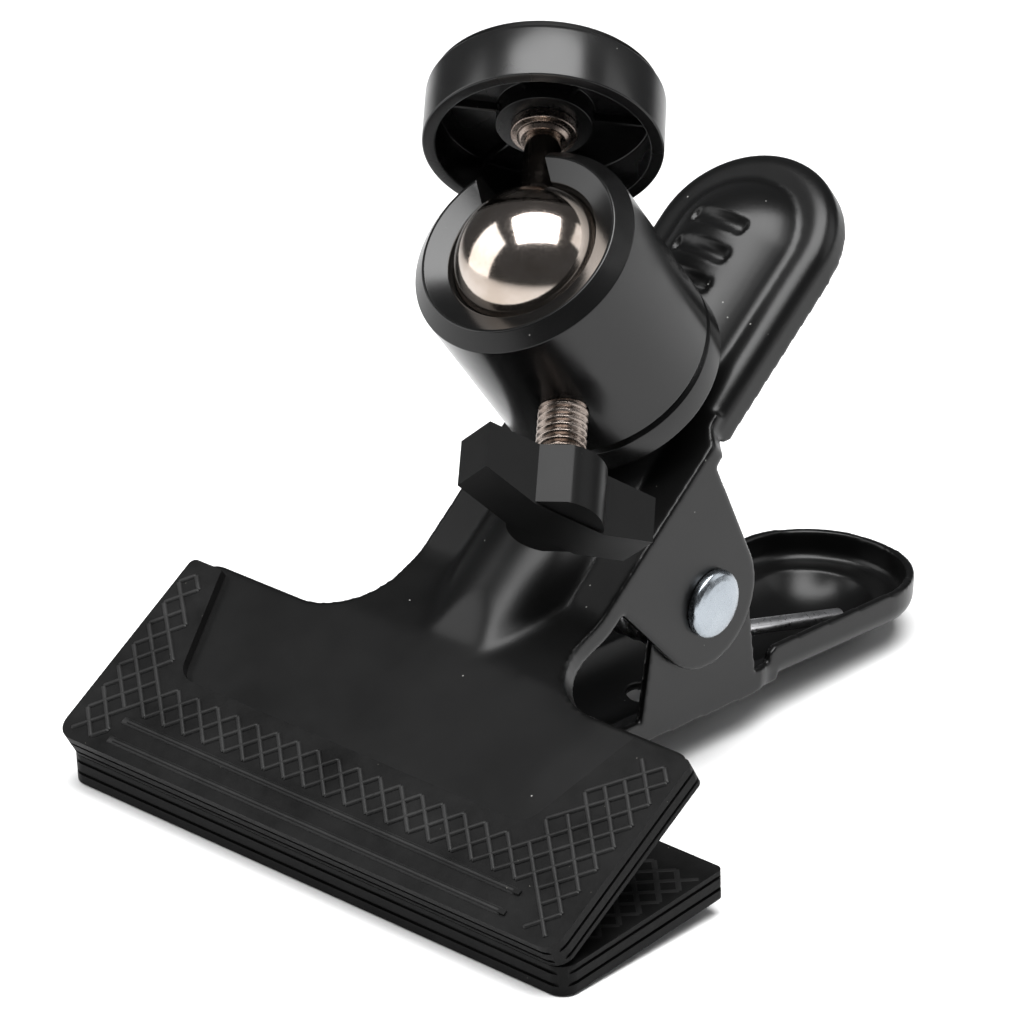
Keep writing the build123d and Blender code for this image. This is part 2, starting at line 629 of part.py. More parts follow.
def all_parts():
    """Every piece by name, in the world frame before it is centred."""
    world = {
        "pivot_rivet": PIVOT_PLACE * pivot_rivet(),
        "rivet_tail_washer": PIVOT_PLACE * rivet_washer(),
        "spring_sleeve": PIVOT_PLACE * spring_sleeve(),
        "torsion_spring": PIVOT_PLACE * torsion_spring(),
    }
    for kind, place in (("lower", LOWER_PLACE), ("upper", UPPER_PLACE)):
        world[f"{kind}_clamp_half"] = place * clamp_half(kind)
        world[f"{kind}_jaw_pad"] = place * jaw_pad()
    on_upper = {
        "head_saddle": head_saddle(),
        "ball_head_base_ring": base_ring(),
        "head_flat_washer": head_washer(0),
        "head_spring_washer": head_washer(1),
        "head_fixing_screw": head_screw(),
        "ball_head_barrel": barrel(),
        "ball_seat_cup": ball_seat_cup(),
        "ball_and_stem": ball_and_stem(),
        "pressure_plug": pressure_plug(),
        "locking_screw": locking_screw(),
        "locking_knob": locking_knob(),
        "mount_disc": mount_disc(),
        "disc_collar_nut": disc_collar_nut(),
        "mount_stud": mount_stud(),
        "disc_face_pad": disc_face_pad(),
    }
    for name, shape in on_upper.items():
        world[name] = UPPER_PLACE * shape
    return world


def report_line(name, frame):
    """Print a frame's origin and Z direction in metres, for the joints."""
    point = [round(value / 1000, 6) for value in frame.position]
    axis = Plane(frame).z_dir
    print(name, point, [round(value, 6) for value in axis])


if __name__ == "__main__":
    os.makedirs("parts", exist_ok=True)
    parts = all_parts()
    box = Compound(children=[Compound(part.wrapped) for part in parts.values()]).bounding_box()
    centring = Pos(0, -(box.min.Y + box.max.Y) / 2, -box.min.Z)
    print("box", box.min, box.max)
    report_line("pivot", centring * PIVOT_PLACE)
    report_line("head", centring * UPPER_PLACE * HEAD_PLACE_FRAME)
    report_line("ball", centring * UPPER_PLACE * HEAD_PLACE_FRAME * Pos(0, 0, BALL_LEVEL))
    report_line("screw", centring * UPPER_PLACE * SCREW_FRAME)
    report_line("stem", centring * UPPER_PLACE * STEM_FRAME)
    for name, part in parts.items():
        print(name, len(part.solids()), round(part.volume, 1))
        export_step(centring * part, f"parts/{name}.step")
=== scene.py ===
import json
import math

import bmesh
import bpy
from mathutils import Matrix, Vector


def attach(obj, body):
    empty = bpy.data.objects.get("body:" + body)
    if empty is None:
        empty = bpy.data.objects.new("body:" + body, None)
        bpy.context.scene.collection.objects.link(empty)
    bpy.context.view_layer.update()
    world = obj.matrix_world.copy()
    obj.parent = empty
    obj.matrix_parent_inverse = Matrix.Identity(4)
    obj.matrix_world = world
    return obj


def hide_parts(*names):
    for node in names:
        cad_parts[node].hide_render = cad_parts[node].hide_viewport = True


# Spring clamp with a ball head. Lengths in the piece functions are millimetres in a local frame;
# place() turns them into metres in the row frame.

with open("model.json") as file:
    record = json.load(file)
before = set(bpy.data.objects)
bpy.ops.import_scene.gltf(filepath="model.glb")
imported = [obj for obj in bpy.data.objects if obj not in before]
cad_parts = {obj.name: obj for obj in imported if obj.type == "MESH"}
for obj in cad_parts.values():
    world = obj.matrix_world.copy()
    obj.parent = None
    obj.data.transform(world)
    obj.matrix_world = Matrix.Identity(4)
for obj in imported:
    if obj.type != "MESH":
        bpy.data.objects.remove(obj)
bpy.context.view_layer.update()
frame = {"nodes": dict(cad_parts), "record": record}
MM = 0.001

# ---- sizes that the record doesn't hold (mm, degrees) ----
LOWER_TURN = -2.809
JAW_TILT = 7.0
JAW_FRONT = (-70.5, 32.65)
PAD_THICKNESS = 5.4
PAD_RIB_HEIGHT = 0.4
PAD_HALF_WIDTH = 52.0
PAD_DEPTH = 36.8
WIRE_RADIUS = 1.3
COIL_RADIUS = 8.6
COIL_HALF = 10.7
COIL_WHOLE_TURNS = 7
LEG_TIP = (44.7, 18.4)
NECK_OUTER_HALF = 19.0
JAW_TRAVEL = 40.0
SCREW_RADIUS = 3.9
SCREW_PITCH = 1.25
STUD_RADIUS = 3.175
STUD_PITCH = 1.27
KNOB_NEAR = 28.5
KNOB_TURN = 29.2
KNOB_HALF_SPAN = 15.7
KNOB_HALF_WING = 3.675
KNOB_HUB_RADIUS = 7.4
KNOB_DEPTHS = (8.0, 10.65)
KNOB_FACET_ANGLES = (150.2, 112.0)
BALL_RADIUS = 12.5
BALL_LEVEL = 24.8
SLOT_AZIMUTH = 129.5
SLOT_HALF = 5.8
RING_RADIUS = 18.2
RING_HEIGHT = 6.0
RING_GAP = 0.17
BARREL_RADIUS = 18.25
DISC_NEAR = 22.6
DISC_FAR = 32.4
RIVET_HEAD = (5.6, 2.2)
RIVET_SHANK = 3.0
RIVET_TAIL_RADIUS = 4.6
WASHER_THICKNESS = 1.0
RING_EDGE = 0.8
RING_BORE = 3.1
SPIGOT_RADIUS = 8.0
SPIGOT_HEIGHT = 4.4
BARREL_FOOT = 0.5
BARREL_SOCKET = (8.06, 5.0)
BARREL_SHOULDER = 29.0
BARREL_CREST = 31.4
CREST_RADII = (15.6, 16.0)
MOUTH = (12.3, 29.85)
LIP = (11.9, 29.1)
LIP_LEVEL = 29.0
SEAT_RADIUS = 10.66
SEAT_FLOOR = 7.2
SEAT_FIT = 0.05
SCREW_HOLE_FIT = 0.06
STEM_RADIUS = 2.9
STEM_END = 31.0
DISC_RADIUS = 18.8
DISC_WEB = 30.0
DISC_BOSS = (7.6, 26.6)
DISC_BORE = 2.95
DISC_RIBS = 6
FACE_TOP = 33.6
KNOB_BORE = (3.92, 8.0)
SCREW_THREAD = (13.85, 36.4)
STUD_TOP = 40.6


# ---- local frames, from the record's joints ----
def joint(name):
    return next(j for j in frame["record"]["behaviour"]["joints"] if j["name"] == name)


def basis(origin, z_axis, x_axis):
    """Local frame in metres with this Z axis, and its X axis as near as can be to x_axis."""
    z = Vector(z_axis).normalized()
    x = Vector(x_axis)
    x = (x - z * x.dot(z)).normalized()
    turned = Matrix((x, z.cross(x), z)).transposed().to_4x4()
    turned.translation = Vector(origin)
    return turned


PIVOT = Vector(joint("jaw_open")["pos_m"])
HEAD_AXIS = Vector(joint("head_pan")["axis"])
turn = math.radians(LOWER_TURN)
UPPER = basis(PIVOT, HEAD_AXIS, (1, 0, 0))
LOWER = basis(PIVOT, (0, math.sin(turn), -math.cos(turn)), (-1, 0, 0))
HEAD = basis(joint("head_pan")["pos_m"], HEAD_AXIS, (1, 0, 0))
STEM = basis(joint("stem_tilt")["pos_m"], joint("disc_spin")["axis"], -HEAD_AXIS)
SCREW = basis(joint("knob_turn")["pos_m"], joint("knob_turn")["axis"], -HEAD_AXIS)
ACROSS = basis(PIVOT, (1, 0, 0), (0, 1, 0))
TO_JAW = Matrix.Translation((0, JAW_FRONT[0] * MM, JAW_FRONT[1] * MM)) @ Matrix.Rotation(
    -math.radians(JAW_TILT), 4, "X"
)


# ---- mesh helpers ----
def place(bm, name, local):
    """A new object from a mesh in millimetres and the local frame it was drawn in."""
    bm.transform(local @ Matrix.Scale(MM, 4))
    bmesh.ops.recalc_face_normals(bm, faces=bm.faces)
    mesh = bpy.data.meshes.new(name)
    bm.to_mesh(mesh)
    bm.free()
    piece = bpy.data.objects.new(name, mesh)
    bpy.context.collection.objects.link(piece)
    return piece


def baked(piece):
    """Applies the piece's modifiers."""
    graph = bpy.context.evaluated_depsgraph_get()
    mesh = bpy.data.meshes.new_from_object(piece.evaluated_get(graph))
    piece.modifiers.clear()
    piece.data = mesh
    return piece


def smooth(piece, angle=35):
    """Smooth shading, with edges sharper than the angle kept crisp."""
    bm = bmesh.new()
    bm.from_mesh(piece.data)
    limit = math.radians(angle)
    for face in bm.faces:
        face.smooth = True
    for edge in bm.edges:
        edge.smooth = not edge.is_manifold or edge.calc_face_angle(0) < limit
    bm.to_mesh(piece.data)
    bm.free()
    return piece


def bevelled(piece, width, segments=2, angle=30):
    modifier = piece.modifiers.new("edges", "BEVEL")
    modifier.width = width * MM
    modifier.segments = segments
    modifier.limit_method = "ANGLE"
    modifier.angle_limit = math.radians(angle)
    modifier.harden_normals = False
    return baked(piece)


def evened(piece, angle=35):
    """Smooth shading that keeps large flat faces flat beside their rounded edges."""
    smooth(piece, angle)
    modifier = piece.modifiers.new("normals", "WEIGHTED_NORMAL")
    modifier.keep_sharp = True
    modifier.weight = 100
    return baked(piece)


def boolean(piece, cutter, operation):
    modifier = piece.modifiers.new("cut", "BOOLEAN")
    modifier.object = cutter
    modifier.operation = operation
    modifier.solver = "EXACT"
    baked(piece)
    bpy.data.objects.remove(cutter)
    return piece


def ring_of(bm, radius, height, segments):
    step = 2 * math.pi / segments
    return [
        bm.verts.new((radius * math.cos(i * step), radius * math.sin(i * step), height))
        for i in range(segments)
    ]


def bridge(bm, low, high):
    count = len(low)
    for i in range(count):
        j = (i + 1) % count
        bm.faces.new((low[i], low[j], high[j], high[i]))


def lathe_mesh(bm, profile, segments=96):
    """Turns a (radius, height) profile about Z. It closes at the axis where the radius is zero."""
    previous = None
    for radius, height in profile:
        if radius < 1e-6:
            tip = bm.verts.new((0, 0, height))
            current = [tip]
        else:
            current = ring_of(bm, radius, height, segments)
        if previous is not None:
            if len(previous) == 1:
                for i in range(len(current)):
                    bm.faces.new((previous[0], current[i], current[(i + 1) % len(current)]))
            elif len(current) == 1:
                for i in range(len(previous)):
                    bm.faces.new((previous[i], previous[(i + 1) % len(previous)], current[0]))
            else:
                bridge(bm, previous, current)
        else:
            first = current
        previous = current
    if len(first) > 1 and len(previous) > 1:
        bridge(bm, previous, first)


def rounded(points, radius, steps=4):
    """Rounds the corners of a (radius, height) profile; a point's third number is its own radius."""
    result = []
    count = len(points)
    for i, point in enumerate(points):
        here = Vector(point[:2])
        size = point[2] if len(point) > 2 else radius
        if size == 0 or i == 0 or i == count - 1:
            result.append(tuple(here))
            continue
        before = Vector(points[i - 1][:2]) - here
        after = Vector(points[i + 1][:2]) - here
        reach = min(size, 0.45 * before.length, 0.45 * after.length)
        start = here + before.normalized() * reach
        end = here + after.normalized() * reach
        for k in range(steps + 1):
            t = k / steps
            mixed = start * (1 - t) ** 2 + here * 2 * t * (1 - t) + end * t**2
            result.append(tuple(mixed))
    return result


def lathe(name, profile, local, segments=96, angle=35):
    bm = bmesh.new()
    lathe_mesh(bm, profile, segments)
    return smooth(place(bm, name, local), angle)


def arc(centre_height, radius, start, end, steps):
    """Profile points on a circle round the axis, by angle from the equator in degrees."""
    points = []
    for k in range(steps + 1):
        angle = math.radians(start + (end - start) * k / steps)
        points.append((radius * math.cos(angle), centre_height + radius * math.sin(angle)))
    return points


def tube_mesh(bm, path, radius, sides=20):
    """A round wire along a list of points, closed at both ends."""
    path = [Vector(p) for p in path]
    normal = None
    previous = None
    for i, point in enumerate(path):
        ahead = path[min(i + 1, len(path) - 1)] - path[max(i - 1, 0)]
        ahead.normalize()
        if normal is None:
            normal = ahead.orthogonal().normalized()
        normal = (normal - ahead * normal.dot(ahead)).normalized()
        side = ahead.cross(normal)
        ring = []
        for k in range(sides):
            angle = 2 * math.pi * k / sides
            offset = normal * math.cos(angle) + side * math.sin(angle)
            ring.append(bm.verts.new(point + offset * radius))
        if previous:
            bridge(bm, previous, ring)
        else:
            bm.faces.new(list(reversed(ring)))
        previous = ring
    bm.faces.new(previous)


def extruded(bm, outline, low, high):
    """A prism from an (x, y) outline between two heights."""
    bottom = [bm.verts.new((x, y, low)) for x, y in outline]
    top = [bm.verts.new((x, y, high)) for x, y in outline]
    bm.faces.new(list(reversed(bottom)))
    bm.faces.new(top)
    bridge(bm, bottom, top)


def thread_mesh(bm, radius, pitch, depth, start, end, segments=40, per_pitch=10):
    """A threaded rod: the radius follows a helical ridge, fading to a point at both ends."""
    steps = int((end - start) / pitch * per_pitch)
    previous = None
    for k in range(steps + 1):
        height = start + (end - start) * k / steps
        fade = min(1.0, (height - start) / pitch, (end - height) / pitch)
        ring = []
        for i in range(segments):
            phase = (height / pitch - i / segments) % 1.0
            ridge = 1 - abs(2 * phase - 1)
            ridge = min(1.0, max(0.0, 1.35 * ridge - 0.12))
            r = radius - depth * (1 - ridge) - 0.35 * (1 - fade)
            angle = 2 * math.pi * i / segments
            ring.append(bm.verts.new((r * math.cos(angle), r * math.sin(angle), height)))
        if previous:
            bridge(bm, previous, ring)
        else:
            bm.faces.new(list(reversed(ring)))
        previous = ring
    bm.faces.new(previous)


def rib_mesh(bm, start, end, base, top, half_width):
    """A moulded rib between two (x, y) points, from height base to height top."""
    start, end = Vector((*start, 0)), Vector((*end, 0))
    ahead = (end - start).normalized()
    side = Vector((-ahead.y, ahead.x, 0))
    rise = top - base
    section = [(-1.25, -0.5), (-1.0, 0.45), (-0.55, 0.9), (0, 1.0)]
    section += [(0.55, 0.9), (1.0, 0.45), (1.25, -0.5)]
    stations = [(start, 0.35), (start + ahead * 0.35, 1.0), (end - ahead * 0.35, 1.0), (end, 0.35)]
    previous = None
    for point, scale in stations:
        ring = []
        for across, up in section:
            height = base + rise * (up * scale if up > 0 else up)
            ring.append(bm.verts.new(point + side * across * half_width + Vector((0, 0, height))))
        if previous:
            bridge(bm, previous, ring)
        else:
            bm.faces.new(list(reversed(ring)))
        previous = ring
    bm.faces.new(previous)


def copy_of(name, node):
    """A copy of a CAD node's mesh, with its flat areas as single faces."""
    piece = bpy.data.objects.new(name, frame["nodes"][node].data.copy())
    bpy.context.collection.objects.link(piece)
    piece.data.materials.clear()
    bm = bmesh.new()
    bm.from_mesh(piece.data)
    bmesh.ops.remove_doubles(bm, verts=bm.verts, dist=0.001 * MM)
    bmesh.ops.dissolve_limit(bm, angle_limit=math.radians(1), verts=bm.verts, edges=bm.edges)
    bm.to_mesh(piece.data)
    bm.free()
    return piece


def from_node(name, node, voxel, rounds):
    """A copy of a CAD node with its edges and blends softened, as forming and coating leave them."""
    piece = bpy.data.objects.new(name, frame["nodes"][node].data.copy())
    bpy.context.collection.objects.link(piece)
    piece.data.materials.clear()
    remesh = piece.modifiers.new("even", "REMESH")
    remesh.mode = "VOXEL"
    remesh.voxel_size = voxel * MM
    relax = piece.modifiers.new("soft", "SMOOTH")
    relax.factor = 0.5
    relax.iterations = rounds
    baked(piece)
    for polygon in piece.data.polygons:
        polygon.use_smooth = True
    return piece


def fade(value, start, end):
    """0 before start, 1 after end, and a smooth rise between them."""
    t = min(1.0, max(0.0, (value - start) / (end - start)))
    return t * t * (3 - 2 * t)


def soften(piece, weight, local, rounds):
    """Relaxes part of a mesh; weight gives how much at a place in the local frame, in mm."""
    group = piece.vertex_groups.new(name="soft")
    to_local = local.inverted()
    for vertex in piece.data.vertices:
        amount = weight(to_local @ vertex.co / MM)
        if amount > 0.01:
            group.add([vertex.index], amount, "REPLACE")
    relax = piece.modifiers.new("soft", "SMOOTH")
    relax.factor = 0.5
    relax.iterations = rounds
    relax.vertex_group = "soft"
    baked(piece)
    piece.vertex_groups.clear()


def joined(pieces, name):
    """Joins meshes into one object."""
    bm = bmesh.new()
    for piece in pieces:
        bm.from_mesh(piece.data)
    mesh = bpy.data.meshes.new(name)
    bm.to_mesh(mesh)
    bm.free()
    whole = bpy.data.objects.new(name, mesh)
    bpy.context.collection.objects.link(whole)
    for piece in pieces:
        bpy.data.objects.remove(piece)
    return whole


# ---- materials ----
class Look:
    """A node material with a Principled shader and the links it needs."""

    def __init__(self, name, **values):
        self.material = bpy.data.materials.new(name)
        self.material.use_nodes = True
        self.tree = self.material.node_tree
        self.shader = self.tree.nodes["Principled BSDF"]
        for socket, value in values.items():
            self.shader.inputs[socket.replace("_", " ")].default_value = value
        self.coordinates = self.tree.nodes.new("ShaderNodeTexCoord").outputs["Object"]

    def node(self, kind, **values):
        made = self.tree.nodes.new(kind)
        for socket, value in values.items():
            made.inputs[socket.replace("_", " ")].default_value = value
        return made

    def link(self, output, target):
        self.tree.links.new(output, target)

    def noise(self, scale, detail=4.0, roughness=0.55, stretch=None):
        texture = self.node("ShaderNodeTexNoise", Scale=scale, Detail=detail, Roughness=roughness)
        source = self.coordinates
        if stretch:
            mapping = self.node("ShaderNodeMapping")
            mapping.inputs["Scale"].default_value = stretch
            self.link(source, mapping.inputs["Vector"])
            source = mapping.outputs["Vector"]
        self.link(source, texture.inputs["Vector"])
        return texture.outputs["Fac"]

    def ramp(self, source, stops):
        ramp = self.node("ShaderNodeValToRGB")
        elements = ramp.color_ramp.elements
        while len(elements) < len(stops):
            elements.new(0.5)
        for element, (position, colour) in zip(elements, stops):
            element.position = position
            element.color = (*colour, 1) if len(colour) == 3 else colour
        self.link(source, ramp.inputs["Fac"])
        return ramp.outputs["Color"]

    def span(self, source, low, high, start=0.0, end=1.0):
        mapped = self.node("ShaderNodeMapRange")
        mapped.inputs["From Min"].default_value = start
        mapped.inputs["From Max"].default_value = end
        mapped.inputs["To Min"].default_value = low
        mapped.inputs["To Max"].default_value = high
        self.link(source, mapped.inputs["Value"])
        return mapped.outputs["Result"]

    def dust(self, density, size):
        """Sparse pale specks: 1 on a speck."""
        cells = self.node("ShaderNodeTexVoronoi", Scale=density)
        self.link(self.coordinates, cells.inputs["Vector"])
        return self.span(cells.outputs["Distance"], 1.0, 0.0, size * 0.6, size)

    def mix(self, factor, first, second):
        mixed = self.node("ShaderNodeMix")
        mixed.data_type = "RGBA"
        self.link(factor, mixed.inputs["Factor"])
        for value, socket in ((first, mixed.inputs[6]), (second, mixed.inputs[7])):
            if isinstance(value, tuple):
                socket.default_value = (*value, 1)
            else:
                self.link(value, socket)
        return mixed.outputs[2]

    def bump(self, source, strength, distance, under=None):
        bump = self.node("ShaderNodeBump", Strength=strength, Distance=distance)
        self.link(source, bump.inputs["Height"])
        if under is not None:
            self.link(under, bump.inputs["Normal"])
        return bump.outputs["Normal"]

    def finish(self, colour=None, roughness=None, normal=None):
        for value, socket in ((colour, "Base Color"), (roughness, "Roughness"), (normal, "Normal")):
            if value is not None:
                self.link(value, self.shader.inputs[socket])
        return self.material


def black_coat(name, shade, rough_low, rough_high, grain, dust_size, gloss=0.3):
    """Black coating on metal or moulded plastic: uneven gloss, fine grain and a little dust."""
    look = Look(name, IOR=1.5)
    look.shader.inputs["Specular IOR Level"].default_value = gloss
    broad = look.noise(60.0, 3.0)
    fine = look.noise(2600.0, 2.0)
    tone = look.ramp(broad, [(0.3, (shade * 0.8,) * 3), (0.75, (shade * 1.3,) * 3)])
    specks = look.dust(220.0, dust_size)
    colour = look.mix(specks, tone, (0.22, 0.22, 0.21))
    roughness = look.span(broad, rough_low, rough_high, 0.3, 0.7)
    normal = look.bump(fine, grain, 0.00004)
    normal = look.bump(broad, 0.1, 0.00008, normal)
    return look.finish(colour, roughness, normal)


def rubber(name, shade, dust_size, gloss):
    look = Look(name, IOR=1.45)
    look.shader.inputs["Specular IOR Level"].default_value = gloss
    broad = look.noise(90.0, 5.0, 0.65)
    fine = look.noise(1500.0, 4.0, 0.7)
    tones = [(0.35, shade * 0.5), (0.62, shade * 1.3), (0.8, shade * 2.6)]
    tone = look.ramp(broad, [(place, (level,) * 3) for place, level in tones])
    specks = look.dust(420.0, dust_size)
    colour = look.mix(specks, tone, (0.20, 0.19, 0.17))
    roughness = look.span(broad, 0.40, 0.60, 0.3, 0.7)
    normal = look.bump(fine, 0.5, 0.00006)
    return look.finish(colour, roughness, normal)


def metal(name, colour, rough_low, rough_high, grain, stain=None, stretch=None):
    look = Look(name, Metallic=1.0)
    broad = look.noise(140.0, 4.0)
    fine = look.noise(2200.0, 3.0, stretch=stretch)
    darker = stain or tuple(c * 0.7 for c in colour)
    tone = look.ramp(broad, [(0.35, darker), (0.62, colour)])
    roughness = look.span(fine, rough_low, rough_high, 0.3, 0.7)
    normal = look.bump(fine, grain, 0.00003)
    return look.finish(tone, roughness, normal)


STEEL_COAT = black_coat("satin_black_coat", 0.0023, 0.28, 0.34, 0.14, 0.035, 0.23)
ANODISED = black_coat("black_anodised", 0.0025, 0.17, 0.27, 0.05, 0.026)
PLASTIC = black_coat("black_moulded_plastic", 0.0065, 0.18, 0.30, 0.08, 0.026)
NYLON = black_coat("black_nylon", 0.0045, 0.28, 0.38, 0.16, 0.017, 0.09)
RUBBER = rubber("black_rubber", 0.0042, 0.03, 0.09)
# Lighter rubber for the raised ribs: partly wear, partly a painted highlight standing in for the
# light the rib crests catch.
WORN_LIT_RIB_RUBBER = rubber("rib_rubber_worn_painted_highlight", 0.0095, 0.03, 0.2)
CHROME = metal("polished_ball", (0.46, 0.405, 0.365), 0.08, 0.15, 0.12, (0.36, 0.305, 0.26))
NICKEL = metal("nickel_plate", (0.27, 0.23, 0.205), 0.20, 0.36, 0.15, (0.14, 0.105, 0.085))
ZINC = metal("zinc_plate", (0.34, 0.37, 0.40), 0.20, 0.30, 0.12, (0.30, 0.33, 0.36))
WIRE = metal("spring_wire", (0.60, 0.60, 0.61), 0.25, 0.4, 0.2)
BRASS = metal("turned_brass", (0.78, 0.60, 0.28), 0.2, 0.35, 0.15)


def finish_piece(piece, material, body, slot, *nodes):
    """Gives a piece its material and its body, and hides the CAD nodes it stands for. The slot
    argument is not used.
    """
    piece.data.materials.clear()
    piece.data.materials.append(material)
    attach(piece, body)
    if nodes:
        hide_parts(*nodes)
    return piece


# ---- stamped halves ----
def channel_nose(place):
    """Where the raised channel fades into the jaw plate."""
    along = fade(place.y, -46, -40) * (1 - fade(place.y, -22, -13))
    return along * (1 - fade(abs(place.x), 12.5, 15.5))


def neck_end(place):
    """Where the neck runs into the handle's rim."""
    return fade(place.y, 14, 17.5) * (1 - fade(place.y, 24, 30)) * fade(place.z, 17, 19)


def stamped_half(kind, half_frame):
    piece = from_node(f"{kind}_stamping", f"{kind}_clamp_half", 0.4, 6)
    soften(piece, channel_nose, half_frame, 90)
    soften(piece, neck_end, half_frame, 14)
    finish_piece(piece, STEEL_COAT, f"{kind}_half", "black_steel", f"{kind}_clamp_half")


# ---- jaw pads ----
LATTICE_PITCH = 4.31
LATTICE_OFFSETS = {1: -0.6, -1: 0.15}
LATTICE_HALF = 50.1
RIB_HALF = 0.38
LONG_RIBS = (2.6, 6.45)
LONG_RIB_HALF = 0.6
SEAM_GROOVES = ((-2.2, 0.5), (-4.3, 0.4))
SEAM_HALF = 0.3
WINDOW_EDGES = {1: (33.7, 17.8, 0.397), -1: (39.15, 20.0, 0.401)}


def in_outer_lattice(x, j):
    """Whether the pad's outer face carries the lattice at a place."""
    start, level, slope = WINDOW_EDGES[1 if x > 0 else -1]
    if abs(x) > LATTICE_HALF or not 1.5 <= j <= 34.5:
        return False
    if j < 8.0:
        return abs(x) >= 45.9 - 0.75 * j
    if j <= 15.0:
        return True
    return abs(x) >= start + slope * (j - level) + 1.5


def in_inner_lattice(x, j):
    return abs(x) <= LATTICE_HALF and 3.0 <= j <= 34.0


def lattice(bm, inside, base, top, half_width):
    """Two families of diagonal ribs, whose ends are crossings that inside(x, j) keeps."""
    count = int((LATTICE_HALF + PAD_DEPTH) / LATTICE_PITCH) + 2
    first = (LATTICE_OFFSETS[1] - LATTICE_OFFSETS[-1]) / 2 % (LATTICE_PITCH / 2)
    crossings = int(2 * PAD_DEPTH / LATTICE_PITCH) + 1
    for direction, offset in LATTICE_OFFSETS.items():
        for k in range(-count, count + 1):
            run = []
            for i in range(crossings):
                j = first + i * LATTICE_PITCH / 2
                x = offset + k * LATTICE_PITCH - direction * j
                if inside(x, j):
                    run.append((x * (1 + 0.0011 * max(0, j - 8) * (abs(x) > 38)), j))
                if run and (not inside(x, j) or i == crossings - 1):
                    if len(run) > 1:
                        rib_mesh(bm, run[0], run[-1], base, top, half_width)
                    run = []


def jaw_pad(kind, half_frame):
    local = half_frame @ TO_JAW
    base = copy_of(f"{kind}_pad", f"{kind}_jaw_pad")
    for level, depth in SEAM_GROOVES:
        flank = PAD_HALF_WIDTH + 1 - depth / 2
        for x, j in ((0.0, depth / 2 - 1), (flank, 0), (-flank, 0)):
            front = x == 0
            half = (PAD_HALF_WIDTH + 2, 1 + depth / 2) if front else (1 + depth / 2, PAD_DEPTH + 2)
            x_low, x_high, j_low, j_high = x - half[0], x + half[0], j - half[1], j + half[1]
            bm = bmesh.new()
            outline = [(x_low, j_low), (x_high, j_low), (x_high, j_high), (x_low, j_high)]
            extruded(bm, outline, level - SEAM_HALF, level + SEAM_HALF)
            boolean(base, place(bm, "seam_cutter", local), "DIFFERENCE")
    base = bevelled(base, 0.22, 2)
    bm = bmesh.new()
    face = -PAD_RIB_HEIGHT
    lattice(bm, in_outer_lattice, face, 0.0, RIB_HALF)
    for j in LONG_RIBS:
        rib_mesh(bm, (-42.2, j), (40.0, j), face, 0.02, LONG_RIB_HALF)
    ribs = place(bm, "moulded_ribs", local)
    bm = bmesh.new()
    lattice(bm, in_inner_lattice, -PAD_THICKNESS, -PAD_THICKNESS - 0.04, 0.4)
    grip = place(bm, "grip_ribs", local)
    finish_piece(evened(base, 50), RUBBER, f"{kind}_half", "black_rubber", f"{kind}_jaw_pad")
    ribs = evened(joined([ribs, grip], f"{kind}_pad_ribs"), 50)
    # The ribs get the lighter rubber: wear plus a painted highlight on the raised ribs.
    finish_piece(ribs, WORN_LIT_RIB_RUBBER, f"{kind}_half", "black_rubber", f"{kind}_jaw_pad")


# ---- pivot and spring ----
def leg_root():
    distance = math.hypot(*LEG_TIP)
    angle = math.atan2(LEG_TIP[1], LEG_TIP[0]) + math.acos(COIL_RADIUS / distance)
    return angle


def turn_of(local):
    """Angle of a half's handle direction from +Y, about the pivot's X axis."""
    ahead = local.to_3x3() @ Vector((0, 1, 0))
    return math.atan2(ahead.z, ahead.y)


def coil_point(angle, x):
    return Vector((x, COIL_RADIUS * math.cos(angle), COIL_RADIUS * math.sin(angle)))


def torsion_spring():
    """The coil with the lower leg, and the upper leg with enough of an arc to stay joined to it."""
    root = leg_root()
    start = root + turn_of(UPPER)
    end = 2 * math.pi * (COIL_WHOLE_TURNS + 1) - root + turn_of(LOWER)
    pitch = 2 * COIL_HALF / (end - start)
    level = Matrix.Translation(PIVOT)
    steps = 24 * COIL_WHOLE_TURNS
    coil = []
    for k in range(steps + 1):
        angle = start + (end - start) * k / steps
        coil.append(coil_point(angle, -COIL_HALF + pitch * (angle - start)))
    lower_tip = Matrix.Rotation(turn_of(LOWER), 3, "X") @ Vector((0, LEG_TIP[0], -LEG_TIP[1]))
    tip = Vector((COIL_HALF, lower_tip.y, lower_tip.z))
    coil += [coil[-1].lerp(tip, t) for t in (0.1, 0.5, 0.97, 1.0)]
    bm = bmesh.new()
    tube_mesh(bm, coil, WIRE_RADIUS)
    piece = smooth(place(bm, "spring_coil", level), 60)
    finish_piece(piece, WIRE, "lower_half", "spring_steel", "torsion_spring")
    upper_tip = Matrix.Rotation(turn_of(UPPER), 3, "X") @ Vector((0, *LEG_TIP))
    tip = Vector((-COIL_HALF, upper_tip.y, upper_tip.z))
    reach = math.radians(JAW_TRAVEL + 8)
    turns = [start + reach * (1 - k / 12) for k in range(13)]
    wire = [coil_point(angle, -COIL_HALF + pitch * (angle - start)) for angle in turns]
    wire += [wire[-1].lerp(tip, t) for t in (0.1, 0.5, 0.97, 1.0)]
    bm = bmesh.new()
    tube_mesh(bm, wire, WIRE_RADIUS * 0.995)
    piece = smooth(place(bm, "spring_upper_leg", level), 60)
    finish_piece(piece, WIRE, "upper_half", "spring_steel")


